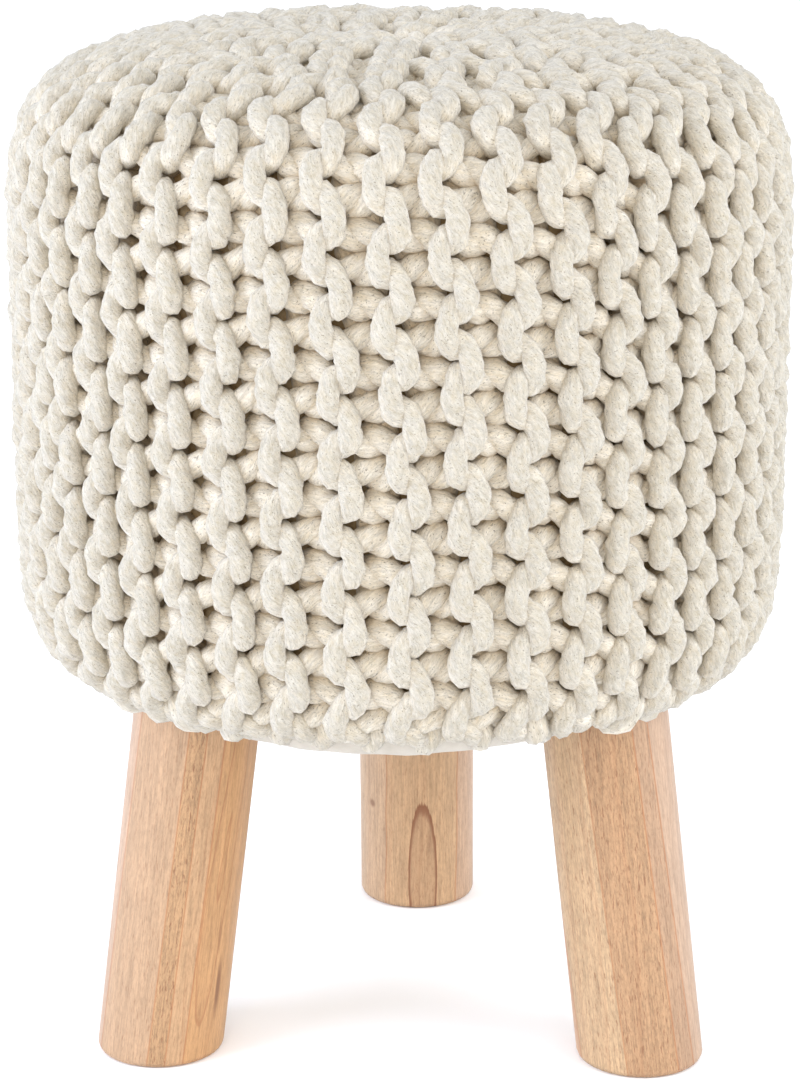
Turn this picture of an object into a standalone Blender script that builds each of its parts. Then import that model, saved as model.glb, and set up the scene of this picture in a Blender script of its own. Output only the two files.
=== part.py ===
"""A round knitted pouf stool: a padded drum in a chunky rope knit, on splayed round wooden legs.

Metres, +Z up, origin on the floor under the middle of the seat. +Y points to the leg at the back.
The knit runs in ridges from the crown, down the side and in under the lower edge. Along each ridge
the stitches lean left and right in turn, and both are raised in the points of one turned solid.
"""

import math

import bmesh
import bpy
from mathutils import Matrix, Vector

# Seat: its outer surface touches the tops of the stitches
SEAT_RADIUS = 0.175
SEAT_TOP = 0.4596
WIDEST_HEIGHT = 0.3625
CROWN_POWER = 4.25  # a higher power makes a flatter crown with a tighter shoulder
HEM_POWER = 10.5
HEM_BOTTOM = 0.1728
HEM_RADIUS = 0.1475  # where the knit ends under the seat
UNDERSIDE_HEIGHT = 0.1765  # flat face inside the hem, behind the base cloth
EYE_RADIUS = 0.012  # drawn-up middle of the crown
EYE_DEPTH = 0.004

# Knit
RIDGES = 44
COLUMNS_PER_RIDGE = 3  # a valley, a left stitch and a right stitch
STITCH_PITCH = 0.029  # along a ridge
VALLEY_DEPTH = 0.008
LOW_STITCH_DEPTH = 0.0035
FULL_RELIEF_RADIUS = 0.12  # ridges crowd together and flatten inside this radius
HEM_WALL_ROWS = 2  # plain rows that close the hem's inner wall

# Base cloth: a plain sheet inside the hem
CLOTH_GAP = 0.0003
CLOTH_THICKNESS = 0.0025
CLOTH_RADIUS = 0.1468
CLOTH_SAG = 0.0018  # between the legs
CLOTH_COLUMNS = 36
CLOTH_RADII = (0.0, 0.03, 0.06, 0.09, 0.115, 0.135, 0.142, CLOTH_RADIUS)
SAG_STARTS_DEG = 20  # from a leg's middle, so that the cloth lies flat over each leg
SAG_INNER_RADIUS = 0.05
SAG_OUTER_RADIUS = 0.138

# Legs
LEG_RADIUS = 0.0288
LEG_SIDES = 40
FOOT_CIRCLE = 0.1276  # from the middle to the centre of each foot
TOP_CIRCLE = 0.1044
LEG_SHIFT = 0.0028  # along +X: the soft seat sits a little to one side of the legs
FOOT_CHAMFER = 0.0025
LEGS = (("leg_back", 0), ("leg_left", 120), ("leg_right", 240))  # degrees from +Y, anticlockwise

COLLECTION_NAME = "knitted_pouf_stool"


def start_empty_scene():
    for old in list(bpy.data.objects):
        bpy.data.objects.remove(old)
    collection = bpy.data.collections.new(COLLECTION_NAME)
    bpy.context.scene.collection.children.link(collection)
    return collection


def plain_material(name, colour, roughness):
    material = bpy.data.materials.new(name)
    material.use_nodes = True
    shader = material.node_tree.nodes["Principled BSDF"]
    shader.inputs["Base Color"].default_value = (*colour, 1.0)
    shader.inputs["Roughness"].default_value = roughness
    shader.inputs["Metallic"].default_value = 0.0
    return material


def add_object(name, bm, material, collection):
    mesh = bpy.data.meshes.new(name)
    bm.to_mesh(mesh)
    bm.free()
    mesh.materials.append(material)
    mesh.shade_smooth()
    mesh.set_sharp_from_angle(angle=math.radians(40))
    obj = bpy.data.objects.new(name, mesh)
    collection.objects.link(obj)
    return obj


def smooth_step(value, low, high):
    share = min(1.0, max(0.0, (value - low) / (high - low)))
    return share * share * (3 - 2 * share)


def seat_outline(steps=400):
    """Points (radius, height) from the eye of the crown, round the side, to the end of the hem."""
    points = []
    for step in range(2 * steps + 1):
        angle = math.pi / 2 * (1 - step / steps)
        power = CROWN_POWER if angle > 0 else HEM_POWER
        reach = SEAT_TOP - WIDEST_HEIGHT if angle > 0 else WIDEST_HEIGHT - HEM_BOTTOM
        radius = SEAT_RADIUS * abs(math.cos(angle)) ** (2 / power)
        rise = reach * abs(math.sin(angle)) ** (2 / power)
        height = WIDEST_HEIGHT + math.copysign(rise, angle)
        under_seat = angle < 0 and radius < HEM_RADIUS
        if radius >= EYE_RADIUS and not under_seat:
            points.append(Vector((radius, height)))
    return points


def even_rows(points, spacing):
    """The same line with its points an even distance apart, and its two ends kept."""
    lengths = [0.0]
    for before, after in zip(points, points[1:]):
        lengths.append(lengths[-1] + (after - before).length)
    count = round(lengths[-1] / spacing)
    rows = []
    index = 0
    for row in range(count + 1):
        target = lengths[-1] * row / count
        while index < len(points) - 2 and lengths[index + 1] < target:
            index += 1
        share = (target - lengths[index]) / (lengths[index + 1] - lengths[index])
        rows.append(points[index].lerp(points[index + 1], share))
    return rows


def outward(rows, row):
    """Outward direction of the outline at a row, as (radial, vertical)."""
    after = rows[min(row + 1, len(rows) - 1)]
    before = rows[max(row - 1, 0)]
    along = (after - before).normalized()
    return Vector((-along.y, along.x))


def stitch_depth(row, column):
    """How far a point lies under the tops of the stitches."""
    place = column % COLUMNS_PER_RIDGE
    if place == 0:
        return VALLEY_DEPTH
    leans_left = row % 2 == 0
    is_high = (place == 1) == leans_left
    return 0.0 if is_high else LOW_STITCH_DEPTH


def turned(points, columns):
    """A bmesh of the outline (radius, height) turned about Z in so many steps."""
    bm = bmesh.new()
    line = [bm.verts.new((point[0], 0.0, point[1])) for point in points]
    edges = [bm.edges.new(pair) for pair in zip(line, line[1:])]
    bmesh.ops.spin(
        bm,
        geom=line + edges,
        cent=(0, 0, 0),
        axis=(0, 0, 1),
        angle=2 * math.pi,
        steps=columns,
        use_merge=True,
    )
    return bm


def nearest_row(points, vertex):
    radius = math.hypot(vertex.co.x, vertex.co.y)
    place = Vector((radius, vertex.co.z))
    return min(range(len(points)), key=lambda row: (points[row] - place).length_squared)


def make_knit_cover(material, collection):
    rows = even_rows(seat_outline(), STITCH_PITCH / 2)
    columns = RIDGES * COLUMNS_PER_RIDGE
    eye = Vector((EYE_RADIUS * 0.7, SEAT_TOP - EYE_DEPTH))
    hem_wall = Vector((HEM_RADIUS, UNDERSIDE_HEIGHT))
    points = [eye, *rows, hem_wall]
    bm = turned(points, columns)
    for vertex in bm.verts:
        row = nearest_row(points, vertex)
        if row == 0 or row > len(points) - 1 - HEM_WALL_ROWS:
            continue
        angle = math.atan2(vertex.co.y, vertex.co.x)
        column = round(angle / (2 * math.pi) * columns) % columns
        radius = points[row].x
        relief = smooth_step(radius, EYE_RADIUS, FULL_RELIEF_RADIUS)
        inward = -outward(points, row) * stitch_depth(row, column) * relief
        vertex.co.x += inward.x * math.cos(angle)
        vertex.co.y += inward.x * math.sin(angle)
        vertex.co.z += inward.y
    bmesh.ops.holes_fill(bm, edges=[e for e in bm.edges if e.is_boundary], sides=0)
    bmesh.ops.recalc_face_normals(bm, faces=bm.faces)
    return add_object("knit_cover", bm, material, collection)


def sag(radius, angle):
    """How far the base cloth hangs at a place: nothing over a leg and most between two legs."""
    third = 2 * math.pi / len(LEGS)
    from_leg = (angle - math.pi / 2 + third / 2) % third - third / 2
    between = smooth_step(math.degrees(abs(from_leg)), SAG_STARTS_DEG, 180 / len(LEGS))
    rim = 1 - smooth_step(radius, SAG_OUTER_RADIUS, CLOTH_RADIUS)
    return CLOTH_SAG * between * rim * smooth_step(radius, 0.0, SAG_INNER_RADIUS)


def make_base_cloth(material, collection):
    height = UNDERSIDE_HEIGHT - CLOTH_GAP
    bm = turned([(radius, height) for radius in CLOTH_RADII], CLOTH_COLUMNS)
    bmesh.ops.remove_doubles(bm, verts=bm.verts, dist=0.00001)
    for vertex in bm.verts:
        radius = math.hypot(vertex.co.x, vertex.co.y)
        vertex.co.z -= sag(radius, math.atan2(vertex.co.y, vertex.co.x))
    bmesh.ops.recalc_face_normals(bm, faces=bm.faces)
    if sum(face.normal.z for face in bm.faces) < 0:
        bmesh.ops.reverse_faces(bm, faces=bm.faces)
    cloth = add_object("base_cloth", bm, material, collection)
    thickness = cloth.modifiers.new("thickness", "SOLIDIFY")
    thickness.thickness = CLOTH_THICKNESS
    thickness.offset = -1  # the sheet's upper face stays in place
    return cloth


def make_leg(name, degrees, material, collection):
    """A round leg that leans outwards, cut level at the floor and under the cloth."""
    height = UNDERSIDE_HEIGHT - 2 * CLOTH_GAP - CLOTH_THICKNESS
    lean = (FOOT_CIRCLE - TOP_CIRCLE) / height
    bm = bmesh.new()
    bmesh.ops.create_cone(
        bm,
        cap_ends=True,
        segments=LEG_SIDES,
        radius1=LEG_RADIUS,
        radius2=LEG_RADIUS,
        depth=height,
        matrix=Matrix.Translation((0, 0, height / 2)),
    )
    # A level cut through a leaning round leg is an oval, longer in the direction of the lean.
    bmesh.ops.scale(bm, vec=(1, math.hypot(1, lean), 1), verts=bm.verts)
    for vertex in bm.verts:
        vertex.co.y -= lean * vertex.co.z
    foot_edges = [e for e in bm.edges if all(abs(v.co.z) < FOOT_CHAMFER for v in e.verts)]
    bmesh.ops.bevel(
        bm,
        geom=foot_edges,
        offset=FOOT_CHAMFER,
        segments=2,
        profile=0.5,
        affect="EDGES",
        material=-1,
    )
    leg = add_object(name, bm, material, collection)
    turn = Matrix.Rotation(math.radians(degrees), 4, "Z")
    leg.location = turn @ Vector((0, FOOT_CIRCLE, 0)) + Vector((LEG_SHIFT, 0, 0))
    leg.rotation_euler.z = math.radians(degrees)
    return leg


def main():
    collection = start_empty_scene()
    knit_cotton = plain_material("knit_cotton", (0.80, 0.77, 0.70), 0.95)
    base_cotton = plain_material("base_cotton", (0.82, 0.79, 0.74), 0.9)
    leg_wood = plain_material("leg_wood", (0.72, 0.47, 0.28), 0.55)
    make_knit_cover(knit_cotton, collection)
    make_base_cloth(base_cotton, collection)
    for name, degrees in LEGS:
        make_leg(name, degrees, leg_wood, collection)


main()
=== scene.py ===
import math

import bmesh
import bpy
import numpy as np
from mathutils import Matrix, Vector, noise
from mathutils.kdtree import KDTree


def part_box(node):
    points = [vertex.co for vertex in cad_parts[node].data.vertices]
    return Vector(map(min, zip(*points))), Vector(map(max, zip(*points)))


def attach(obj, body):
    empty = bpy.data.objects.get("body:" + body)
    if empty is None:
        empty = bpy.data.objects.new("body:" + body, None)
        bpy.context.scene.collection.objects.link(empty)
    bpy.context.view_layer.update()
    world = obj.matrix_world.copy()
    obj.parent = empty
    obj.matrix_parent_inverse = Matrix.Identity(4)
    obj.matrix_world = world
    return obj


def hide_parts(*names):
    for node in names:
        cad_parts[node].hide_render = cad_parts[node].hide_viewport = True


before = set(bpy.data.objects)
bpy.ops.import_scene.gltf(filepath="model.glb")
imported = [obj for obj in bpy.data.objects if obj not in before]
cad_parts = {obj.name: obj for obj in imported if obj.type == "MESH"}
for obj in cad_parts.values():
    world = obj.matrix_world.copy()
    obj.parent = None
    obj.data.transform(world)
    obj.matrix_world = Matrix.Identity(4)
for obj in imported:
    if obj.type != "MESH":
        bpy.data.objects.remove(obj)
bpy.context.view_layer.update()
print("frame loaded:", sorted(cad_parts))

mm = 0.001


def linear(hexColour):
    # sRGB hex to the linear colour that a shader takes
    parts = [int(hexColour[i:i + 2], 16) / 255 for i in (1, 3, 5)]
    return tuple(c / 12.92 if c <= 0.04045 else ((c + 0.055) / 1.055) ** 2.4 for c in parts) + (1.0,)


def mainOutput(node):
    # a Mix node has an output for each type of data, and only the one in use is enabled
    return next(output for output in node.outputs if output.enabled)


def addNode(tree, kind, inputs=None, stops=None, **settings):
    # adds a node, sets its options, and fills its sockets with values or links
    made = tree.nodes.new(kind)
    for option, value in settings.items():
        setattr(made, option, value)
    for socket, value in (inputs or {}).items():
        if isinstance(value, bpy.types.Node):
            value = mainOutput(value)
        if isinstance(value, bpy.types.NodeSocket):
            tree.links.new(value, made.inputs[socket])
        else:
            made.inputs[socket].default_value = value
    if stops:
        elements = made.color_ramp.elements
        while len(elements) < len(stops):
            elements.new(0.5)
        for element, (position, colour) in zip(elements, stops):
            element.position = position
            element.color = linear(colour) if isinstance(colour, str) else (colour, colour, colour, 1)
    return made


def newMaterial(name, roughness, specular=0.5):
    material = bpy.data.materials.new(name)
    material.use_nodes = True
    tree = material.node_tree
    shader = tree.nodes["Principled BSDF"]
    shader.inputs["Roughness"].default_value = roughness
    shader.inputs["Specular IOR Level"].default_value = specular
    return material, tree, shader


def addPiece(name, mesh, material, replaced):
    obj = bpy.data.objects.new(name, mesh)
    bpy.context.collection.objects.link(obj)
    mesh.materials.clear()
    mesh.materials.append(material)
    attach(obj, "root")
    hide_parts(replaced)
    return obj


def smoothStep(value, low, high):
    share = np.clip((value - low) / (high - low), 0, 1)
    return share * share * (3 - 2 * share)


# camera, light and floor; the angles are in degrees and the lens is in mm

camera = {"turn": 2.73, "rise": 16.65, "distance": 1.5294, "aimHeight": 0.2247, "lens": 110.2}


def makeCamera():
    turn, rise = math.radians(camera["turn"]), math.radians(camera["rise"])
    back = Vector((math.sin(turn) * math.cos(rise), -math.cos(turn) * math.cos(rise), math.sin(rise)))
    data = bpy.data.cameras.new("camera")
    data.lens = camera["lens"]
    data.sensor_width = 36
    data.clip_start = 0.05
    obj = bpy.data.objects.new("camera", data)
    bpy.context.collection.objects.link(obj)
    obj.location = Vector((0, 0, camera["aimHeight"])) + back * camera["distance"]
    obj.rotation_euler = (-back).to_track_quat("-Z", "Y").to_euler()
    bpy.context.scene.camera = obj


studio = {
    "world": 1.2,
    "worldColour": "#f7faff",
    "lamps": (  # name, place, aim, size, watts, colour
        ("key", (-0.2, -2.4, 1.0), (0, 0, 0.26), 1.0, 14.0, "#ffe8c8"),
        ("left", (-1.9, -1.0, 1.1), (0, 0, 0.25), 1.6, 48.0, "#dfe9ff"),
        ("right", (1.9, -0.75, 1.1), (0, 0, 0.25), 1.6, 32.0, "#f4f7ff"),
    ),
    "floor": 6.0,           # metres, half its width
    "floorDrop": 0.2 * mm,  # below the feet, so that the two faces don't fight
}


def makeStudio():
    world = bpy.data.worlds.new("studio")
    world.use_nodes = True
    world.node_tree.nodes["Background"].inputs["Color"].default_value = linear(studio["worldColour"])
    world.node_tree.nodes["Background"].inputs["Strength"].default_value = studio["world"]
    bpy.context.scene.world = world
    bpy.context.scene.view_settings.view_transform = "Standard"
    for name, place, aim, size, watts, colour in studio["lamps"]:
        data = bpy.data.lights.new(name, "AREA")
        data.shape = "DISK"
        data.size = size
        data.energy = watts
        data.color = linear(colour)[:3]
        obj = bpy.data.objects.new(name, data)
        bpy.context.collection.objects.link(obj)
        obj.location = place
        obj.rotation_euler = (Vector(aim) - Vector(place)).to_track_quat("-Z", "Y").to_euler()


def paintedFloor():
    # matt white studio paint
    material, _, shader = newMaterial("painted_floor", 0.9)
    shader.inputs["Base Color"].default_value = linear("#fdfdfd")
    return material


def makeFloor():
    bm = bmesh.new()
    bmesh.ops.create_grid(bm, x_segments=1, y_segments=1, size=studio["floor"])
    mesh = bpy.data.meshes.new("floor")
    bm.to_mesh(mesh)
    bm.free()
    mesh.materials.append(paintedFloor())
    floor = bpy.data.objects.new("floor", mesh)
    bpy.context.collection.objects.link(floor)
    floor.location.z = -studio["floorDrop"]


makeCamera()
makeStudio()
makeFloor()
print("camera, light and floor made")


# the seat's outline, shared by the knit and the filling

seat = {
    "radius": 0.175,        # over the tops of the stitches
    "top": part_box("knit_cover")[1].z + mm,
    "widest": 0.3625,       # height of the widest place
    "crownPower": 4.25,     # a flat crown with a tight shoulder
    "hemPower": 10.5,
    "hemBottom": 0.1740,
    "hemRadius": 0.147,     # inside this the knit is tucked up behind the base cloth
    "tuckRadius": 0.118,
    "tuckSlope": 0.75,
}


def evenly(line, spacing):
    steps = np.linalg.norm(np.diff(line, axis=0), axis=1)
    along = np.concatenate([[0], np.cumsum(steps)])
    marks = np.linspace(0, along[-1], int(along[-1] / spacing) + 1)
    return np.stack([np.interp(marks, along, line[:, i]) for i in range(line.shape[1])], 1)


def outwards(line):
    # the outward direction at each point of an outline, smoothed a little round tight bends
    along = np.gradient(line, axis=0)
    for _ in range(8):
        along[1:-1] = (along[:-2] + along[1:-1] + along[2:]) / 3
    along /= np.linalg.norm(along, axis=1, keepdims=True)
    return np.stack([-along[:, 1], along[:, 0]], 1)


def seatOutline(depth=0):
    # radius and height from the middle of the crown, round the side, to the end of the hem, 1 mm apart,
    # moved inwards by the depth; and the outward directions there
    angle = np.linspace(math.pi / 2, -math.pi / 2, 2401)
    up = angle > 0
    power = np.where(up, seat["crownPower"], seat["hemPower"])
    reach = np.where(up, seat["top"] - seat["widest"], seat["widest"] - seat["hemBottom"])
    radius = seat["radius"] * np.abs(np.cos(angle)) ** (2 / power)
    height = seat["widest"] + np.sign(angle) * reach * np.abs(np.sin(angle)) ** (2 / power)
    keep = up | (radius > seat["hemRadius"])
    tuck = np.linspace(seat["hemRadius"], seat["tuckRadius"], 30)[1:]
    tuckHeight = seat["hemBottom"] + (seat["hemRadius"] - tuck) * seat["tuckSlope"]
    radius = np.concatenate([radius[keep], tuck])
    height = np.concatenate([height[keep], tuckHeight])
    line = evenly(np.stack([radius, height], 1), mm)
    line = line - outwards(line) * depth
    line[:, 0] = np.maximum(line[:, 0], 0)
    line = evenly(line, mm)
    return line, outwards(line)


# the knit: garter stitch in thick rope, its ridges running from the crown to the hem

knit = {
    "seed": 11,              # of all that is uneven in it
    "ridges": 44,
    "pieces": 6,             # the rope is cut into so many, between ridges
    "rope": 0.0094,          # thickness
    "swell": 0.03,           # the rope swells on a loop's head and is squeezed where it crosses
    "taper": 0.07,           # it is fuller at the lower end of each loop than at the upper one
    "spread": 0.18,          # and where nothing stretches it, behind the loops
    "stitch": 0.0281,        # along a ridge, on the side
    "crownStitch": 0.0230,   # on the crown, where the knit is tighter
    "crownLift": 0.95,       # and a little flatter
    "tightInside": 0.105,    # the stitches change between these distances from the crown's middle
    "looseOutside": 0.185,
    "crossing": 0.0072,      # soft rope gives where two ropes cross
    "crossingPower": 0.4,    # and gives more in the smaller stitches
    "reach": 0.0102,         # how far a loop goes to each side of its row
    "row": 0.0118,           # a row's usual width; loops reach less far in a narrower one
    "rowRange": (0.5, 1.25),  # from this share of that width up to this one
    "rowPower": 0.8,
    "innermost": 0.002,      # no loop comes nearer to the crown's middle
    "fanned": 0.012,         # and inside this radius loops fan out no further
    "aside": 0.43,           # in ridges: how far aside a loop's head meets the next ridge's stitches
    "bulge": 0.19,           # a loop's head is wider than its neck, as a share of the stitch
    "lift": 0.0070,          # how far a loop comes forward, and goes back
    "arch": 0.10,            # share of the lift that makes a loop's head rounder than a wave
    "skew": 0.30,            # a loop comes forward at its lower end and sinks in at its upper end
    "hook": 0.35,            # and it is widest near its lower end
    # unevenness
    "uneven": 0.07,          # from stitch to stitch, in size and lift
    "unevenMost": 1.7,       # times that, at most
    "shift": 0.06,           # stitches sit up to so much higher or lower, as a share of one
    "wander": 0.0010,        # of a ridge to the side, between nine places along it
    "backUneven": 0.05,      # of the ridges' widths that the photo doesn't show
    "backSlip": 2,           # mm, from one of those ridges to the next
    "alikeInside": 0.09,     # from the crown's middle: inside this the ridges are alike in width
    "ownOutside": 0.16,      # and outside this each has its own
    "lumps": 0.0015,         # of the rope's skin
    "lumpSizes": ((0.8, 3.4 * mm), (0.5, 8 * mm)),  # share and size
    # the whole
    "frontAngle": -87.0,     # degrees, the ridge in the middle of the front
    "innerEnd": 0.006,       # short rows let the ridges meet: they end on the crown between these radii
    "outerEnd": 0.148,
    "endOrder": (0.2, 0.618),  # the first end, and golden section steps, so that neighbours end far apart
    "endFade": (0.006, 0.016),  # a ridge gains its width from so far inside its end to so far outside it
    "turnReach": 0.005,      # how far a U-turn runs on past the ends of its rows
    "turnPoints": 6,
    "leanFrom": 0.33,        # the ridges turn round the seat as they go down from this height
    "leanAbove": 0.5,        # radians a metre
    "leanBelow": (0.33, 0.19),  # on the whole, and so much more at the sides and less at front and back
    # left of the front's middle the ridges sway right: angle, height, how far, and the swayed patch's size
    "sway": (-1.66, 0.262, 0.020),
    "swaySize": (0.22, 0.045),
    "dips": (                # in the crown: x, y, radius, depth
        (0, 0, 0.020, 0.003),             # its drawn-up middle
        (0.011, 0.115, 0.022, 0.0035),    # a soft dent near its rim at the back
        (0.030, 0.125, 0.011, -0.004),    # and beside it some stitches that stand up a little
    ),
    # across the front, left to right: the ridges' widths against the mean one, and how far the stitches
    # of each have slipped down, in mm; counted from 0, the seventh is the one in the middle
    "frontShares": (0.95, 0.90, 0.96, 1.08, 1.01, 0.97, 1.05, 1.10, 1.01,
                    0.97, 0.99, 0.90, 0.83, 0.89, 0.89, 0.87, 0.92),
    "frontSlips": (0, 1, -1, 0, 1, 5, 3, 2, 2.4, -0.8, -3.6, -10.8, -16.9, -18, -19, -20),
    "frontMiddle": 7,
    # how finely it is drawn
    "points": 28,            # along the rope, for each stitch, while it is laid
    "spacings": (0.0017, 0.0030),  # of the finished rope's points, where it shows and where it is hidden
    "smoothed": 7,           # times, most where it shows
    "sides": 10,
}


def layRidges(rng, marks, ends):
    # each ridge's middle and its share of the round, as angles at each mark from the crown's middle
    count = knit["ridges"]
    given = len(knit["frontShares"])
    order = (np.arange(count) - knit["frontMiddle"]) % count
    shares = np.full(count, (count - sum(knit["frontShares"])) / (count - given))
    shares[order[:given]] = knit["frontShares"]
    shares[order[given:]] *= 1 + knit["backUneven"] * rng.standard_normal(count - given)
    own = smoothStep(marks, knit["alikeInside"], knit["ownOutside"])
    evened = 1 + (shares[:, None] - 1) * own[None, :]
    inside, outside = knit["endFade"]
    grown = smoothStep(marks[None, :], ends[:, None] - inside, ends[:, None] + outside)
    weights = evened * grown + 1e-6
    turns = 2 * math.pi * weights / weights.sum(0)
    starts = np.cumsum(turns, axis=0) - turns
    middles = math.radians(knit["frontAngle"]) + starts + turns / 2 - (starts[0] + turns[0] / 2)
    return middles, turns


def slippedStitches(rng):
    # how far each ridge's stitches have slipped down, in stitches: as listed across the front, and round
    # the back a wandering way from the last of those to the first
    front = knit["frontSlips"]
    hidden = knit["ridges"] - len(front)
    walk = np.cumsum(rng.normal(0, knit["backSlip"], hidden + 1))
    share = np.arange(1, hidden + 1) / (hidden + 1)
    back = front[-1] + (front[0] - front[-1]) * share + walk[:-1] - walk[-1] * share
    slips = np.concatenate([front, back])
    return np.roll(slips, -knit["frontMiddle"]) * mm / knit["stitch"]


def leanAt(middle, height):
    # how far a ridge has turned round the seat
    mean, more = knit["leanBelow"]
    below = mean + more * np.cos(2 * (middle + math.pi / 2) + math.pi)
    start = knit["leanFrom"]
    lean = np.where(height < start, below, knit["leanAbove"]) * (start - height)
    swayAngle, swayHeight, sway = knit["sway"]
    wide, high = knit["swaySize"]
    return lean + sway * np.exp(-((middle - swayAngle) / wide) ** 2 - ((height - swayHeight) / high) ** 2)


def layRow(rng, ground, ridge, side):
    # one row of loops from the hem to the crown, in the left or right half of its ridge: for each point
    # of the rope its home on the seat, the outward direction there, where it lies, how thick it is
    # against the usual rope, and the room that it keeps at a crossing
    marks, line, out = ground["marks"], ground["line"], ground["out"]
    stitches = ridge["stitches"]
    per = knit["points"]
    most = knit["unevenMost"]
    # the phase grows by one full turn from each stitch to the next
    phase = -math.pi + 2 * math.pi * np.arange(stitches * per + 1) / per
    number = np.clip((phase + math.pi) / (2 * math.pi), 0, stitches - 1).astype(int)
    size = 1 + knit["uneven"] * rng.uniform(-most, most, stitches)[number]
    lift = 1 + knit["uneven"] * rng.uniform(-most, most, stitches)[number]
    shifts = rng.uniform(-knit["shift"], knit["shift"], stitches + 1)
    shift = np.interp(phase, 2 * math.pi * np.arange(stitches + 1), shifts)
    # the point's place up the ridge, in stitches and then along the outline; loops come forward at their
    # heads, and the two rows of a ridge have them in turn
    fromHead = phase + math.pi * side
    hooked = np.cos(fromHead + knit["hook"] * np.cos(fromHead)) * (1 - 2 * side)
    aside = (side - 0.5) / 2 + knit["aside"] * hooked
    drift = np.where(aside > 0, aside * ridge["nextSlip"], -aside * ridge["lastSlip"])
    up = phase / (2 * math.pi) + 0.5 + knit["bulge"] * np.sin(2 * phase)
    place = np.interp(ridge["slip"] + drift + up - shift, ground["worked"], marks[::-1])
    turn = np.interp(place, marks, ridge["turns"])
    middle = np.interp(place, marks, ridge["middles"]) + (side - 0.5) * turn / 2
    radius = np.maximum(np.interp(place, marks, line[:, 0]), knit["innermost"])
    height = np.interp(place, marks, line[:, 1])
    outR = np.interp(place, marks, out[:, 0])
    outZ = np.interp(place, marks, out[:, 1])
    # across the row, and forward of it
    narrow = np.clip(turn * radius / 2 / knit["row"], *knit["rowRange"]) ** knit["rowPower"]
    skewed = fromHead + knit["skew"] * np.cos(fromHead)
    wave = (1 - knit["arch"]) * np.cos(skewed) + knit["arch"] * np.cos(3 * skewed)
    flat = np.interp(place, marks, knit["crownLift"] + (1 - knit["crownLift"]) * ground["loose"])
    forward = wave * knit["lift"] * lift * flat
    across = hooked * knit["reach"] * narrow * size + np.interp(place, marks, ridge["wander"])
    angle = middle + leanAt(middle, height) + across / np.maximum(radius, knit["fanned"])
    home = np.stack([radius * np.cos(angle), radius * np.sin(angle), height], 1)
    for x, y, dipRadius, depth in knit["dips"]:
        away = np.hypot(home[:, 0] - x, home[:, 1] - y)
        home[:, 2] -= depth * np.exp(-(away / dipRadius) ** 2)
    outward = np.stack([outR * np.cos(angle), outR * np.sin(angle), outZ], 1)
    thick = 1 + knit["swell"] * np.cos(2 * fromHead) - knit["taper"] * np.sin(fromHead)
    smaller = np.interp(place, marks, ground["pitch"]) / knit["stitch"]
    room = knit["crossing"] * smaller ** knit["crossingPower"]
    return {"home": home, "outward": outward, "place": home + outward * forward[:, None],
            "thick": thick, "room": room}


def joinRows(rows):
    # U-turns join the rows' ends: at the crown inside a ridge, and at the hem between ridges
    path = [rows[0]]
    cuts = []
    steps = np.linspace(0, 1, knit["turnPoints"] + 2)[1:-1]
    blend = steps * steps * (3 - 2 * steps)
    for before, after in zip(rows, rows[1:]):
        beyond = before["place"][-1] - before["place"][-3]
        beyond *= knit["turnReach"] / np.linalg.norm(beyond)
        bend = {}
        for key, values in before.items():
            share = blend[:, None] if values.ndim > 1 else blend
            bend[key] = values[-1] + (after[key][0] - values[-1]) * share
        bend["place"] = bend["place"] + beyond * np.sin(math.pi * steps)[:, None]
        path.append(bend)
        cuts.append(sum(len(part["home"]) for part in path) - knit["turnPoints"] // 2)
        path.append(after)
    rope = {key: np.concatenate([part[key] for part in path]) for key in rows[0]}
    return rope, cuts[1::2]


def ropePath(rng):
    # one rope for the whole knit: up one row and down the next, 44 times round; and the places in it
    # between two ridges, where it may be cut
    count = knit["ridges"]
    line, out = seatOutline(knit["rope"] / 2 + knit["lift"])
    marks = np.arange(len(line)) * mm
    length = marks[-1]
    slips = slippedStitches(rng)
    loose = smoothStep(marks, knit["tightInside"], knit["looseOutside"])
    pitch = knit["crownStitch"] + (knit["stitch"] - knit["crownStitch"]) * loose
    worked = np.cumsum((mm / pitch)[::-1])      # stitches from the hem
    ground = {"line": line, "out": out, "marks": marks, "loose": loose, "pitch": pitch, "worked": worked}
    hemward = marks[::-1]
    firstEnd, step = knit["endOrder"]
    order = (firstEnd + np.arange(count) * step) % 1
    ends = knit["innerEnd"] + (knit["outerEnd"] - knit["innerEnd"]) * order
    stitchCounts = np.round(np.interp(length - ends, length - hemward, worked) - slips % 1).astype(int)
    ends = np.interp(slips % 1 + stitchCounts, worked, hemward)
    middles, turns = layRidges(rng, marks, ends)
    nine = np.linspace(0, length, 9)
    rows = []
    for number in range(count):
        ridge = {
            "middles": middles[number],
            "turns": turns[number],
            "stitches": stitchCounts[number],
            "slip": slips[number] % 1,
            "nextSlip": slips[(number + 1) % count] - slips[number],
            "lastSlip": slips[number - 1] - slips[number],
            "wander": np.interp(marks, nine, rng.normal(0, knit["wander"], len(nine))),
        }
        rows.append(layRow(rng, ground, ridge, 0))
        downward = layRow(rng, ground, ridge, 1)
        rows.append({key: values[::-1] for key, values in downward.items()})
    return joinRows(rows)


settling = {
    "rounds": 90,
    "lookAgain": 12,         # rounds from one search for crossings to the next
    "margin": 0.001,         # the search reaches so much further than a crossing
    "skip": 1.5,             # crossings' lengths along the rope that are too near to cross
    "firstRoom": 0.5,        # share of its room that a crossing asks for at first
    "push": 0.8,             # straight apart, and then in or out from the seat
    "pushOut": 0.7,
    "eager": 1.2,
    "length": 0.25,          # how fast the rope takes back its length
    "stiffness": 0.10,
    "proud": 0.001,          # a loop may come forward so much further than its lift
    "hold": 0.6,             # and is brought back so fast
    "memory": 0.02,          # pull to where it was laid
    "evened": 12,            # times that its lengths are evened before, and its bends after
    "softened": 2,
}


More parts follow.
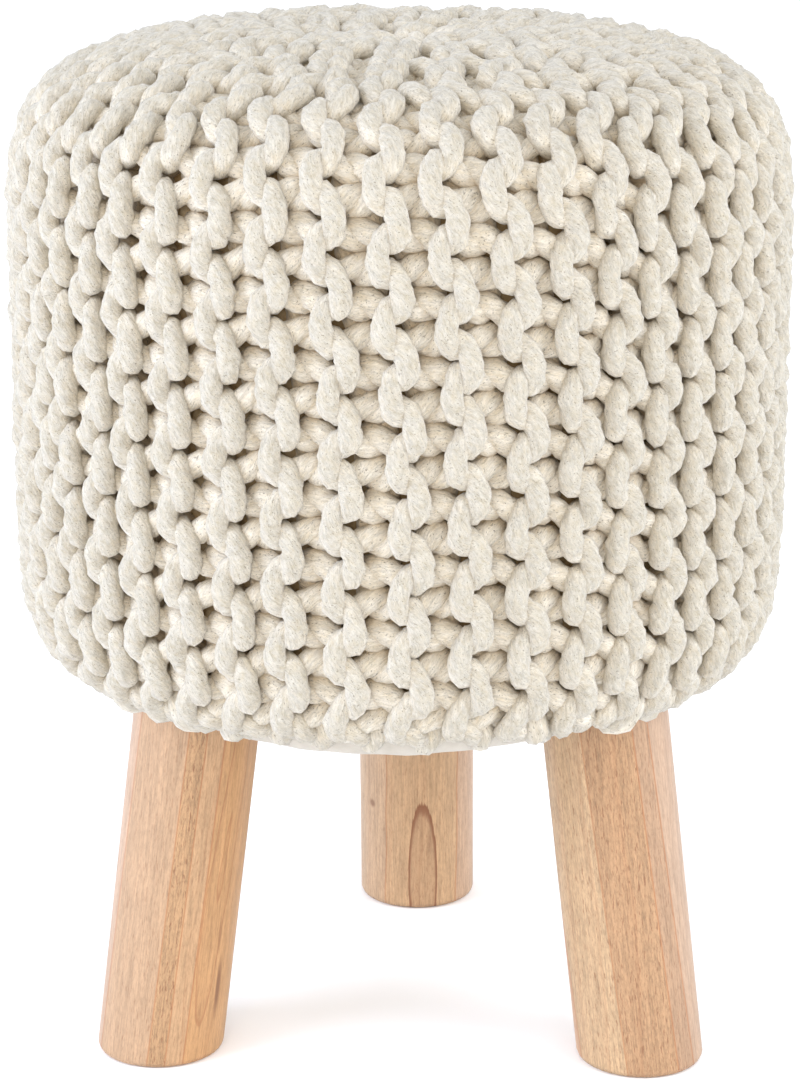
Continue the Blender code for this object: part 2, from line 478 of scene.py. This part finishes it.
def findCrossings(places, reach, skip):
    tree = KDTree(len(places))
    for index, place in enumerate(places):
        tree.insert(place, index)
    tree.balance()
    pairs = np.array([(index, other) for index, place in enumerate(places)
                      for _, other, _ in tree.find_range(place, reach) if other > index + skip])
    return pairs[:, 0], pairs[:, 1]


def relax(homes, outward, places, room):
    # lets the crossing ropes push each other apart, with the rope's length and stiffness kept
    anchor = places.copy()
    count = len(places)
    rest = np.linalg.norm(np.diff(places, axis=0), axis=1, keepdims=True)
    for _ in range(settling["evened"]):
        rest[1:-1] = (rest[:-2] + rest[1:-1] + rest[2:]) / 3
    reach = knit["crossing"] + settling["margin"]
    skip = int(settling["skip"] * knit["crossing"] / float(rest.mean()))
    limit = knit["lift"] + settling["proud"]
    for turn in range(settling["rounds"]):
        if turn % settling["lookAgain"] == 0:
            first, second = findCrossings(places, reach, skip)
            near = (room[first] + room[second]) / 2
        gap = places[second] - places[first]
        distance = np.linalg.norm(gap, axis=1) + 1e-9
        grown = near * min(1, settling["firstRoom"] + turn / settling["rounds"])
        push = np.maximum(0, grown - distance)[:, None] / distance[:, None] * gap * 0.5
        facing = (outward[first] + outward[second]) / 2
        straightOut = np.sum(push * facing, axis=1, keepdims=True) * facing
        push = push * settling["push"] + straightOut * settling["pushOut"]
        hit = (distance < grown).astype(float)
        hits = np.bincount(first, hit, count) + np.bincount(second, hit, count)
        moved = np.stack([np.bincount(second, push[:, i], count) - np.bincount(first, push[:, i], count)
                          for i in range(3)], 1)
        places = places + moved / np.maximum(1, hits)[:, None] * settling["eager"]
        step = np.diff(places, axis=0)
        long = np.linalg.norm(step, axis=1, keepdims=True) + 1e-9
        fix = settling["length"] * (long - rest) / long * step
        places[:-1] += fix
        places[1:] -= fix
        bend = (-places[:-4] + 4 * places[1:-3] - 6 * places[2:-2] + 4 * places[3:-1] - places[4:]) / 6
        places[2:-2] += settling["stiffness"] * bend
        off = np.sum((places - homes) * outward, axis=1)
        places -= outward * ((off - np.clip(off, -limit, limit)) * settling["hold"])[:, None]
        places += (anchor - places) * settling["memory"]
    for _ in range(settling["softened"]):
        places[1:-1] += 0.25 * (places[:-2] - 2 * places[1:-1] + places[2:])
    total = float(np.linalg.norm(np.diff(places, axis=0), axis=1).sum())
    print("rope laid:", round(total, 1), "m")
    return places


def finer(places, thick, shown, cuts):
    # a smooth curve through the laid points, with points closer together where the rope shows
    wide = np.interp(shown, (0, 1), knit["spacings"][::-1])
    steps = np.linalg.norm(np.diff(places, axis=0), axis=1) / wide[1:]
    along = np.concatenate([[0], np.cumsum(steps)])
    numbers = np.arange(len(places))
    at = np.interp(np.arange(int(along[-1]) + 1), along, numbers)
    before = np.minimum(at.astype(int), len(places) - 2)
    part = (at - before)[:, None]
    tangents = np.gradient(places, axis=0)
    late = part * part * (3 - 2 * part)
    curve = places[before] * (1 - late) + places[before + 1] * late
    curve += tangents[before] * part * (1 - part) ** 2 - tangents[before + 1] * part * part * (1 - part)
    soft = 0.25 * np.interp(at, numbers, np.clip(shown, 0.1, 1))[1:-1, None]
    for _ in range(knit["smoothed"]):
        curve[1:-1] += soft * (curve[:-2] - 2 * curve[1:-1] + curve[2:])
    return curve, np.interp(at, numbers, thick), [int(np.searchsorted(at, cut)) for cut in cuts]


def makeRope(name, line, thick, outline):
    # a round rope along the line, its UV map in metres along it and in turns round it; each point keeps
    # how far it lies under the tops of the stitches, which the rope's material uses to paint light and
    # shade
    curve = bpy.data.curves.new(name, "CURVE")
    curve.dimensions = "3D"
    curve.bevel_depth = knit["rope"] / 2
    curve.bevel_resolution = knit["sides"] // 2 - 2
    curve.use_fill_caps = True
    spline = curve.splines.new("POLY")
    spline.points.add(len(line) - 1)
    spline.points.foreach_set("co", np.column_stack([line, np.ones(len(line))]).ravel())
    spline.points.foreach_set("radius", thick)
    rope = bpy.data.objects.new(name, curve)
    mesh = bpy.data.meshes.new_from_object(rope)
    uvs = np.zeros(len(mesh.loops) * 2)
    mesh.uv_layers[0].data.foreach_get("uv", uvs)
    uvs[0::2] *= np.linalg.norm(np.diff(line, axis=0), axis=1).sum()
    mesh.uv_layers[0].data.foreach_set("uv", uvs)
    bm = bmesh.new()
    bm.from_mesh(mesh)
    bpy.data.objects.remove(rope)
    bpy.data.curves.remove(curve)
    bmesh.ops.remove_doubles(bm, verts=bm.verts, dist=0.001 * mm)
    bm.normal_update()
    hollow = bm.verts.layers.float.new("hollow")
    for vertex in bm.verts:
        radius = math.hypot(vertex.co.x, vertex.co.y)
        vertex[hollow] = outline.find((radius, vertex.co.z, 0))[2]
        lump = sum(share * noise.noise(vertex.co / size) for share, size in knit["lumpSizes"])
        vertex.co += vertex.normal * lump * knit["lumps"]
    bm.to_mesh(mesh)
    bm.free()
    mesh.shade_smooth()
    return mesh


def cottonRope():
    # cotton rope, loosely spun and knitted by hand: matt, soft and a little hairy, with fine fibres that
    # wind along it and small dark flecks of seed husk. Its colour is painted light that follows the depth
    # under the loops' tops: the tops are painted greyer to hold down their highlights, the flanks lighter
    # against the shade between the stitches, and the rope deep down darker and warmer as painted shade.
    material, tree, shader = newMaterial("spun_cotton_rope", 0.95, 0.2)
    shader.inputs["Sheen Weight"].default_value = 0.25
    shader.inputs["Sheen Roughness"].default_value = 0.5
    radius = knit["rope"] / 2
    lay = 60 * mm           # length of one turn of the fibres round the rope
    stray = 2.4 * mm        # how far fibres stray from their way
    deepest = 25 * mm       # where the tones end, under the tops of the loops

    # the rope laid out straight, with its fibres unwound, from the UV map
    uv = addNode(tree, "ShaderNodeUVMap", uv_map="UVMap")
    split = addNode(tree, "ShaderNodeSeparateXYZ", {"Vector": uv})
    angle = addNode(tree, "ShaderNodeMath", {0: split.outputs["Y"], 1: 2 * math.pi}, operation="MULTIPLY")
    wound = addNode(tree, "ShaderNodeMath", {0: split.outputs["X"], 1: 2 * math.pi / lay, 2: angle},
                    operation="MULTIPLY_ADD")
    cosine = addNode(tree, "ShaderNodeMath", {0: wound}, operation="COSINE")
    sine = addNode(tree, "ShaderNodeMath", {0: wound}, operation="SINE")
    y = addNode(tree, "ShaderNodeMath", {0: cosine, 1: radius}, operation="MULTIPLY")
    z = addNode(tree, "ShaderNodeMath", {0: sine, 1: radius}, operation="MULTIPLY")
    rope = addNode(tree, "ShaderNodeCombineXYZ", {"X": split.outputs["X"], "Y": y, "Z": z})
    straying = addNode(tree, "ShaderNodeTexNoise", {"Vector": rope, "Scale": 1 / (4 * mm), "Detail": 2.0})
    strayed = addNode(tree, "ShaderNodeVectorMath",
                      {0: straying.outputs["Color"], 1: (0, stray, stray), 2: rope},
                      operation="MULTIPLY_ADD")

    # strands 1 mm across and hairs 0.4 mm across, both drawn out along the rope, and soft tufts
    drawn = addNode(tree, "ShaderNodeMapping", {"Vector": strayed, "Scale": (0.22, 1, 1)})
    strands = addNode(tree, "ShaderNodeTexNoise",
                      {"Vector": drawn, "Scale": 1 / (1.0 * mm), "Detail": 3.0, "Roughness": 0.6})
    hairs = addNode(tree, "ShaderNodeTexNoise",
                    {"Vector": drawn, "Scale": 1 / (0.4 * mm), "Detail": 3.0, "Roughness": 0.7})
    tufts = addNode(tree, "ShaderNodeTexNoise",
                    {"Vector": rope, "Scale": 1 / (2.6 * mm), "Detail": 4.0, "Roughness": 0.65})
    strand = addNode(tree, "ShaderNodeValToRGB", {"Fac": strands}, stops=[(0.36, 0.80), (0.56, 1.02)])
    hair = addNode(tree, "ShaderNodeValToRGB", {"Fac": hairs}, stops=[(0.36, 0.90), (0.62, 1.08)])
    tuft = addNode(tree, "ShaderNodeValToRGB", {"Fac": tufts}, stops=[(0.30, "#f3ede1"), (0.60, "#ffffff")])

    # flecks: a few dark ones 0.6 mm across, and many faint ones
    dark = addNode(tree, "ShaderNodeTexNoise", {"Vector": strayed, "Scale": 1 / (0.75 * mm), "Detail": 1.0})
    darkFleck = addNode(tree, "ShaderNodeValToRGB", {"Fac": dark}, stops=[(0.655, 0.0), (0.70, 0.70)])
    faint = addNode(tree, "ShaderNodeTexNoise", {"Vector": rope, "Scale": 1 / (0.55 * mm), "Detail": 2.0})
    faintFleck = addNode(tree, "ShaderNodeValToRGB", {"Fac": faint}, stops=[(0.54, 0.0), (0.68, 0.34)])

    hollow = addNode(tree, "ShaderNodeAttribute", attribute_name="hollow")
    deep = addNode(tree, "ShaderNodeMath", {0: hollow.outputs["Fac"], 1: 1 / deepest}, operation="MULTIPLY")
    # painted light: greyer tops against their highlights, lighter flanks, darker and warmer painted shade
    # deep down
    colour = addNode(tree, "ShaderNodeValToRGB", {"Fac": deep},
                     stops=[(0.03, "#bfbaae"), (0.16, "#d6d0c3"), (0.36, "#dbd4c6"), (0.52, "#dacdb8"),
                            (0.95, "#d2c09f")])
    for strength, shade in ((0.9, strand), (1.0, hair), (1.0, tuft)):
        colour = addNode(tree, "ShaderNodeMix", {"Factor": strength, "A": colour, "B": shade},
                         data_type="RGBA", blend_type="MULTIPLY")
    for fleck, fleckColour in ((faintFleck, "#9c9484"), (darkFleck, "#7b7569")):
        colour = addNode(tree, "ShaderNodeMix", {"Factor": fleck, "A": colour, "B": linear(fleckColour)},
                         data_type="RGBA")
    tree.links.new(mainOutput(colour), shader.inputs["Base Color"])
    coarse = addNode(tree, "ShaderNodeBump", {"Strength": 0.6, "Distance": 0.8 * mm, "Height": tufts})
    medium = addNode(tree, "ShaderNodeBump",
                     {"Strength": 0.8, "Distance": 0.6 * mm, "Height": strands, "Normal": coarse})
    fine = addNode(tree, "ShaderNodeBump",
                   {"Strength": 0.9, "Distance": 0.4 * mm, "Height": hairs, "Normal": medium})
    tree.links.new(mainOutput(fine), shader.inputs["Normal"])
    return material


def makeKnit():
    rng = np.random.default_rng(knit["seed"])
    rope, cuts = ropePath(rng)
    places = relax(rope["home"], rope["outward"], rope["place"], rope["room"])
    shown = 0.5 + np.sum((places - rope["home"]) * rope["outward"], axis=1) / knit["lift"]
    thick = rope["thick"] + knit["spread"] * (1 - np.clip(shown, 0, 1))
    places, thick, cuts = finer(places, thick, shown, cuts)
    line, _ = seatOutline()
    outline = KDTree(len(line))
    for index, (radius, height) in enumerate(line):
        outline.insert((radius, height, 0), index)
    outline.balance()
    material = cottonRope()
    share = math.ceil(knit["ridges"] / knit["pieces"])
    edges = [0] + cuts[share - 1::share] + [len(places) - 1]
    for number, (start, end) in enumerate(zip(edges, edges[1:]), 1):
        mesh = makeRope("knit_rows", places[start:end + 1], thick[start:end + 1], outline)
        addPiece(f"knit_rows_{number}", mesh, material, "knit_cover")
        print("knit rows", number, "made:", sum(len(p.vertices) - 2 for p in mesh.polygons), "triangles")


makeKnit()


# the filling behind the knit

filling = {
    "depth": 0.0205,    # under the tops of the stitches
    "loft": 0.9,
    "spacing": 6,       # of its rings, in mm
    "facets": 96,
}


def turned(points, facets):
    # a line of (radius, height) turned about Z into a shell, its poles closed
    bm = bmesh.new()
    verts = [bm.verts.new((radius, 0, height)) for radius, height in points]
    edges = [bm.edges.new(pair) for pair in zip(verts, verts[1:])]
    bmesh.ops.spin(bm, geom=verts + edges, cent=(0, 0, 0), axis=(0, 0, 1), angle=2 * math.pi,
                   steps=facets, use_merge=True)
    bmesh.ops.remove_doubles(bm, verts=bm.verts, dist=0.1 * mm)
    bmesh.ops.recalc_face_normals(bm, faces=bm.faces)
    return bm


def liningCloth():
    # cotton lining, painted a dark tan that stands in for the shade behind the knit
    material, tree, shader = newMaterial("cotton_lining_painted_shade", 0.95, 0.2)
    where = addNode(tree, "ShaderNodeTexCoord").outputs["Object"]
    weave = addNode(tree, "ShaderNodeTexNoise", {"Vector": where, "Scale": 1 / (1.2 * mm), "Detail": 3.0})
    tone = addNode(tree, "ShaderNodeValToRGB", {"Fac": weave}, stops=[(0.3, "#9c8562"), (0.7, "#b8a079")])
    tree.links.new(mainOutput(tone), shader.inputs["Base Color"])
    bump = addNode(tree, "ShaderNodeBump", {"Strength": 0.4, "Distance": 0.3 * mm, "Height": weave})
    tree.links.new(mainOutput(bump), shader.inputs["Normal"])
    return material


def makeFilling():
    line, _ = seatOutline(filling["depth"])
    points = [tuple(p) for p in line[::filling["spacing"]]]
    points[0] = (0, points[0][1])
    points.append((0, points[-1][1] + mm))
    bm = turned(points, filling["facets"])
    mesh = bpy.data.meshes.new("seat_filling")
    bm.to_mesh(mesh)
    bm.free()
    mesh.shade_smooth()
    piece = addPiece("seat_filling", mesh, liningCloth(), "knit_cover")


makeFilling()
print("filling made")


# the base cloth: thin cotton stretched under the seat, its edge tucked up behind the hem

baseCloth = {
    "radius": 0.1440,
    "height": 0.1752,
    "rings": (0, 0.02, 0.04, 0.06, 0.08, 0.095, 0.105, 0.113, 0.12, 0.126, 0.131),  # of its flat part
    "turnUp": 0.0085,        # its edge, behind the hem, in a quarter of a round
    "turnSteps": 6,
    "sag": 0.0058,           # between the legs
    "sagPower": 0.6,         # under 1 it hangs in a broad curve, steepest near the legs
    "sagWithin": (0.03, 0.128, 0.136),  # from nothing here to all there, and none again past the last
    "slack": 0.35,           # the cloth hangs lower to the left
    "ripple": 0.0012,        # of its gathered edge
    "rippleFrom": (0.1, 0.13),
    "ripples": 7,
    "thickness": 0.0008,
    "facets": 180,
}


def plainCotton():
    # plain-woven cotton sheeting, cream: a fine even weave that only shows close up, so that it is drawn
    # coarser than it is, with its threads 0.9 mm apart
    material, tree, shader = newMaterial("plain_woven_cotton", 0.9, 0.2)
    shader.inputs["Sheen Weight"].default_value = 0.15
    where = addNode(tree, "ShaderNodeTexCoord").outputs["Object"]
    scale = 2 * math.pi / (0.9 * mm) / 20      # a wave texture has 20 radians to a unit
    warp = addNode(tree, "ShaderNodeTexWave", {"Vector": where, "Scale": scale}, bands_direction="X")
    weft = addNode(tree, "ShaderNodeTexWave", {"Vector": where, "Scale": scale}, bands_direction="Y")
    weave = addNode(tree, "ShaderNodeMath", {0: warp.outputs["Fac"], 1: weft.outputs["Fac"]},
                    operation="MAXIMUM")
    slub = addNode(tree, "ShaderNodeTexNoise", {"Vector": where, "Scale": 1 / (6 * mm), "Detail": 4.0})
    tone = addNode(tree, "ShaderNodeValToRGB", {"Fac": slub}, stops=[(0.3, "#b2aca1"), (0.7, "#bdb7ac")])
    tree.links.new(mainOutput(tone), shader.inputs["Base Color"])
    bump = addNode(tree, "ShaderNodeBump", {"Strength": 0.3, "Distance": 0.1 * mm, "Height": weave})
    tree.links.new(mainOutput(bump), shader.inputs["Normal"])
    return material


def clothProfile():
    # radius and height of the flat part, and then of the edge as it turns up
    height = baseCloth["height"]
    profile = [(radius, height) for radius in baseCloth["rings"]]
    flatRadius = baseCloth["rings"][-1]
    for step in range(1, baseCloth["turnSteps"] + 1):
        bend = step / baseCloth["turnSteps"] * math.pi / 2
        radius = flatRadius + (baseCloth["radius"] - flatRadius) * math.sin(bend)
        profile.append((radius, height + baseCloth["turnUp"] * (1 - math.cos(bend))))
    return profile


def makeBaseCloth():
    bm = turned(clothProfile(), baseCloth["facets"])
    if sum(face.normal.z for face in bm.faces) > 0:
        bmesh.ops.reverse_faces(bm, faces=bm.faces)
    sagStart, sagFull, sagEnd = baseCloth["sagWithin"]
    for vertex in bm.verts:
        out = vertex.co.xy.length
        angle = math.atan2(vertex.co.y, vertex.co.x)
        wave = 0.5 + 0.5 * math.cos(3 * (angle + math.pi / 2))     # from 0 at a leg to 1 between two
        between = wave ** baseCloth["sagPower"]
        between *= 1 - baseCloth["slack"] * math.cos(angle)
        loose = smoothStep(out, sagStart, sagFull) * (1 - smoothStep(out, sagEnd, baseCloth["radius"]))
        edge = smoothStep(out, *baseCloth["rippleFrom"])
        ripple = noise.noise(Vector((math.cos(angle), math.sin(angle), 0.3)) * baseCloth["ripples"])
        vertex.co.z -= baseCloth["sag"] * between * loose + baseCloth["ripple"] * ripple * edge
    mesh = bpy.data.meshes.new("base_cloth_sheet")
    bm.to_mesh(mesh)
    bm.free()
    mesh.shade_smooth()
    cloth = addPiece("base_cloth_sheet", mesh, plainCotton(), "base_cloth")
    thickness = cloth.modifiers.new("thickness", "SOLIDIFY")
    thickness.thickness = baseCloth["thickness"]
    thickness.offset = -1


makeBaseCloth()
print("base cloth made")


# the legs: round, turned from blocks glued up from strips of light hardwood

legAxis = {"footCircle": 0.1276, "topCircle": 0.1044, "height": 0.1734, "shift": 0.0028}
blockWidth = 80     # mm, across the block that a leg is turned from

# each leg: its turn from the back, the strips it is glued up from, and its figure
# a strip is (its left edge in mm from the leg's middle as seen from the front, colour, pores)
# the seams between strips lean by so many mm to each mm, and sway by up to so many mm
# a heart is (mm to the right of the leg's middle, mm behind it, lean), and rings grow round it, so many
# mm wide and as far as their reach in mm; "rings" is how strongly they show
# a mark is (mm to the right of the leg's middle, mm above the floor, half its width and height, strength)
# an eye is a long oval growth ring, placed and sized in the same way
legLooks = {
    "leg_left": {
        "turn": 120,
        "strips": ((-40, "#b79980", 0.25), (-26.5, "#b29273", 0.40), (-3.5, "#ad8964", 0.95),
                   (4.6, "#b7936e", 0.40), (12.5, "#b88e62", 0.2)),
        "seamLean": -0.02,
        "seamSway": 0,
        "heart": (21, -28.9, 0.09),
        "ringWidth": 5,
        "ringReach": 13,
        "rings": 0.5,
        "marks": ((24.0, 36, 0.9, 13, 0.8), (22.5, 62, 0.7, 8, 0.35)),
    },
    "leg_right": {
        "turn": 240,
        "strips": ((-40, "#bc987a", 0.3), (-26.0, "#ba9c79", 0.7), (-5.5, "#ae8a67", 0.8),
                   (17.5, "#ab8b6e", 0.5), (24.5, "#b59980", 0.25)),
        "seamLean": 0.035,
        "seamSway": 0,
        "heart": (-60, 20, 0.0),
        "ringWidth": 14,
        "ringReach": 200,
        "rings": 0.18,
        "marks": ((3.0, 24, 1.0, 10, 0.2), (-9.0, 150, 0.8, 5, 0.3)),
    },
    "leg_back": {
        "turn": 0,
        "strips": ((-40, "#b59778", 0.35), (-12.4, "#b69571", 0.35), (23.5, "#b6977b", 0.3)),
        "seamLean": 0.0,
        "seamSway": 5,
        "heart": (-60, 20, 0.0),
        "ringWidth": 14,
        "ringReach": 200,
        "rings": 0.12,
        "eye": (4.1, 22, 7.4, 43),
        "marks": ((-21.5, 59.5, 1.5, 2.2, 0.75), (9.0, 3, 1.6, 1.2, 0.6), (7.5, 42, 1.3, 6, 0.3)),
    },
}


def legFrame(look):
    # puts the leg's own axis on Z: X across it to the right as seen from the front, Y away from the front
    turn = Matrix.Rotation(math.radians(look["turn"]), 4, "Z")
    shift = Vector((legAxis["shift"], 0, 0))
    foot = turn @ Vector((0, legAxis["footCircle"], 0)) + shift
    top = turn @ Vector((0, legAxis["topCircle"], legAxis["height"])) + shift
    tilt = (top - foot).rotation_difference(Vector((0, 0, 1))).to_matrix()
    return tilt.to_euler(), -(tilt @ foot)


def gluedStrips(tree, split, sway, look):
    # the strips' tones, how open their grain is, and the glue lines, 0.8 mm wide, where two strips meet
    swayed = addNode(tree, "ShaderNodeMath", {0: sway, 1: look["seamSway"] * mm, 2: split.outputs["X"]},
                     operation="MULTIPLY_ADD")
    leaned = addNode(tree, "ShaderNodeMath", {0: split.outputs["Z"], 1: look["seamLean"], 2: swayed},
                     operation="MULTIPLY_ADD")
    across = addNode(tree, "ShaderNodeMath", {0: leaned, 1: 1 / (blockWidth * mm), 2: 0.5},
                     operation="MULTIPLY_ADD")
    strips = [((edge + blockWidth / 2) / blockWidth, colour, pores)
              for edge, colour, pores in look["strips"]]
    tone = addNode(tree, "ShaderNodeValToRGB", {"Fac": across}, stops=[(e, c) for e, c, p in strips])
    tone.color_ramp.interpolation = "CONSTANT"
    poreShare = addNode(tree, "ShaderNodeValToRGB", {"Fac": across}, stops=[(e, p) for e, c, p in strips])
    poreShare.color_ramp.interpolation = "CONSTANT"
    half = 0.4 / blockWidth
    lines = []
    for edge, _, _ in strips[1:]:
        lines += [(edge - half, 0.0), (edge, 1.0), (edge + half, 0.0)]
    seam = addNode(tree, "ShaderNodeValToRGB", {"Fac": across}, stops=lines)
    return tone, poreShare, seam


def growthRings(tree, split, sway, look):
    # rings round a heart that leans through the block, each fading in slowly and ending in a dark line
    heartX, heartY, heartLean = look["heart"]
    sideways = 7 * mm       # how far the rings' lines stray
    fromX = addNode(tree, "ShaderNodeMath", {0: split.outputs["X"], 1: heartX * mm}, operation="SUBTRACT")
    leaned = addNode(tree, "ShaderNodeMath", {0: split.outputs["Z"], 1: -heartLean, 2: split.outputs["Y"]},
                     operation="MULTIPLY_ADD")
    fromY = addNode(tree, "ShaderNodeMath", {0: leaned, 1: heartY * mm}, operation="SUBTRACT")
    flat = addNode(tree, "ShaderNodeCombineXYZ", {"X": fromX, "Y": fromY})
    distance = addNode(tree, "ShaderNodeVectorMath", {0: flat}, operation="LENGTH").outputs["Value"]
    bent = addNode(tree, "ShaderNodeMath", {0: sway, 1: sideways, 2: distance}, operation="MULTIPLY_ADD")
    ring = addNode(tree, "ShaderNodeMath", {0: bent, 1: 1 / (look["ringWidth"] * mm)}, operation="MULTIPLY")
    part = addNode(tree, "ShaderNodeMath", {0: ring}, operation="FRACT")
    band = addNode(tree, "ShaderNodeValToRGB", {"Fac": part},
                   stops=[(0.0, 0.0), (0.55, 0.06), (0.85, 0.35), (0.91, 1.0), (0.95, 0.9), (0.98, 0.1),
                          (1.0, 0.0)])
    reach = look["ringReach"] * mm
    reached = addNode(tree, "ShaderNodeMapRange", {"Value": distance, "From Min": 0.6 * reach,
                                                   "From Max": reach, "To Min": look["rings"],
                                                   "To Max": 0.0})
    return addNode(tree, "ShaderNodeMath", {0: band, 1: reached}, operation="MULTIPLY")


def fromOval(tree, split, x, z, halfWidth, halfHeight):
    # how far a place is from the middle of an upright oval on the front of the leg, 1 at the oval's edge;
    # at least 2 on the leg's back
    fromX = addNode(tree, "ShaderNodeMath", {0: split.outputs["X"], 1: x * mm}, operation="SUBTRACT")
    fromZ = addNode(tree, "ShaderNodeMath", {0: split.outputs["Z"], 1: z * mm}, operation="SUBTRACT")
    shareX = addNode(tree, "ShaderNodeMath", {0: fromX, 1: halfWidth * mm}, operation="DIVIDE")
    shareZ = addNode(tree, "ShaderNodeMath", {0: fromZ, 1: halfHeight * mm}, operation="DIVIDE")
    behind = addNode(tree, "ShaderNodeMath", {0: split.outputs["Y"], 1: 0.0}, operation="GREATER_THAN")
    far = addNode(tree, "ShaderNodeMath", {0: behind, 1: 2.0}, operation="MULTIPLY")
    oval = addNode(tree, "ShaderNodeCombineXYZ", {"X": shareX, "Y": far, "Z": shareZ})
    return addNode(tree, "ShaderNodeVectorMath", {0: oval}, operation="LENGTH").outputs["Value"]


def knotsAndStreaks(tree, split, look):
    # small knots and dark streaks: soft ovals
    marked = 0.0
    for x, z, halfWidth, halfHeight, strength in look["marks"]:
        away = fromOval(tree, split, x, z, halfWidth, halfHeight)
        spot = addNode(tree, "ShaderNodeMapRange", {"Value": away, "From Min": 0.5, "From Max": 1.3,
                                                    "To Min": strength, "To Max": 0.0})
        marked = addNode(tree, "ShaderNodeMath", {0: spot, 1: marked}, operation="ADD")
    return marked


def ringEye(tree, split, fibres, look):
    # the turning cuts along one ring, which shows as a long oval, broadest and darkest at its tip
    if "eye" not in look:
        return 0.0
    x, z, halfWidth, halfHeight = look["eye"]
    grown = 1.25        # a ramp ends at 1, so the eye's edge is put at 0.8
    away = fromOval(tree, split, x, z, grown * halfWidth, grown * halfHeight)
    ragged = addNode(tree, "ShaderNodeMath", {0: fibres, 1: 0.16, 2: away}, operation="MULTIPLY_ADD")
    return addNode(tree, "ShaderNodeValToRGB", {"Fac": ragged},
                   stops=[(0.0, 0.14), (0.60, 0.14), (0.73, 0.22), (0.79, 0.8), (0.86, 0.95), (0.89, 0.0)])


def gluedHardwood(name, look):
    # light hardwood blocks glued up from strips, turned, sanded and clear oiled: straight fine pores,
    # thin glue lines where strips meet, and arched growth rings where the turning cuts them
    material, tree, shader = newMaterial("oiled_hardwood_" + name, 0.5, 0.4)
    rotation, location = legFrame(look)
    where = addNode(tree, "ShaderNodeTexCoord").outputs["Object"]
    own = addNode(tree, "ShaderNodeMapping", {"Vector": where, "Rotation": rotation, "Location": location})
    split = addNode(tree, "ShaderNodeSeparateXYZ", {"Vector": own})
    sway = addNode(tree, "ShaderNodeTexNoise", {"Vector": own, "Scale": 1 / (60 * mm), "Detail": 2.0})
    tone, poreShare, seam = gluedStrips(tree, split, sway, look)

    # pores: short dark dashes along the grain, 0.5 mm wide and some 3 mm long, and a finer grit between
    # them, both thickest in the open-grained strips
    stretched = addNode(tree, "ShaderNodeMapping", {"Vector": own, "Scale": (1, 1, 0.14)})
    pores = addNode(tree, "ShaderNodeTexNoise",
                    {"Vector": stretched, "Scale": 1 / (0.7 * mm), "Detail": 2.0, "Roughness": 0.6})
    pore = addNode(tree, "ShaderNodeValToRGB", {"Fac": pores}, stops=[(0.58, 0.0), (0.67, 1.0)])
    speckle = addNode(tree, "ShaderNodeMath", {0: pore, 1: poreShare}, operation="MULTIPLY")
    porous = addNode(tree, "ShaderNodeMath", {0: speckle, 1: 0.85}, operation="MULTIPLY")
    gritty = addNode(tree, "ShaderNodeMapping", {"Vector": own, "Scale": (1, 1, 0.28)})
    grit = addNode(tree, "ShaderNodeTexNoise",
                   {"Vector": gritty, "Scale": 1 / (0.9 * mm), "Detail": 3.0, "Roughness": 0.75})
    gritShade = addNode(tree, "ShaderNodeValToRGB", {"Fac": grit}, stops=[(0.36, 0.75), (0.56, 1.09)])
    openGrain = addNode(tree, "ShaderNodeMath", {0: poreShare, 1: 0.75, 2: 0.25}, operation="MULTIPLY_ADD")

    # soft streaks of the grain, 3 mm wide, and fibres 0.8 mm wide
    long = addNode(tree, "ShaderNodeMapping", {"Vector": own, "Scale": (1, 1, 0.05)})
    grain = addNode(tree, "ShaderNodeTexNoise",
                    {"Vector": long, "Scale": 1 / (3 * mm), "Detail": 6.0, "Roughness": 0.66})
    streak = addNode(tree, "ShaderNodeValToRGB", {"Fac": grain}, stops=[(0.3, 0.80), (0.65, 1.00)])
    fibres = addNode(tree, "ShaderNodeTexNoise",
                     {"Vector": long, "Scale": 1 / (0.8 * mm), "Detail": 3.0, "Roughness": 0.6})
    fibre = addNode(tree, "ShaderNodeValToRGB", {"Fac": fibres}, stops=[(0.36, 0.83), (0.58, 1.06)])

    colour = tone
    for strength, shade in ((1.0, streak), (1.0, fibre), (openGrain, gritShade)):
        colour = addNode(tree, "ShaderNodeMix", {"Factor": strength, "A": colour, "B": shade},
                         data_type="RGBA", blend_type="MULTIPLY")
    figures = (
        (growthRings(tree, split, sway, look), "#8f5a38"),
        (seam, "#a06c45"),
        (ringEye(tree, split, fibres, look), "#76492e"),
        (knotsAndStreaks(tree, split, look), "#6f4a33"),
        (porous, "#7c5238"),
    )
    for strength, darker in figures:
        colour = addNode(tree, "ShaderNodeMix", {"Factor": strength, "A": colour, "B": linear(darker)},
                         data_type="RGBA")
    tree.links.new(mainOutput(colour), shader.inputs["Base Color"])
    dull = addNode(tree, "ShaderNodeMath", {0: speckle, 1: 0.25, 2: 0.45}, operation="MULTIPLY_ADD")
    tree.links.new(mainOutput(dull), shader.inputs["Roughness"])
    bump = addNode(tree, "ShaderNodeBump", {"Strength": 0.35, "Distance": 0.12 * mm, "Height": speckle},
                   invert=True)
    tree.links.new(mainOutput(bump), shader.inputs["Normal"])
    return material


def makeLegs():
    for name, look in legLooks.items():
        bm = bmesh.new()
        bm.from_mesh(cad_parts[name].data)
        bmesh.ops.remove_doubles(bm, verts=bm.verts, dist=0.001 * mm)
        bmesh.ops.dissolve_limit(bm, angle_limit=math.radians(1), verts=bm.verts, edges=bm.edges)
        mesh = bpy.data.meshes.new(name + "_wood")
        bm.to_mesh(mesh)
        bm.free()
        mesh.shade_smooth()
        mesh.set_sharp_from_angle(angle=math.radians(35))
        addPiece(name + "_wood", mesh, gluedHardwood(name, look), name)


makeLegs()
print("legs made")
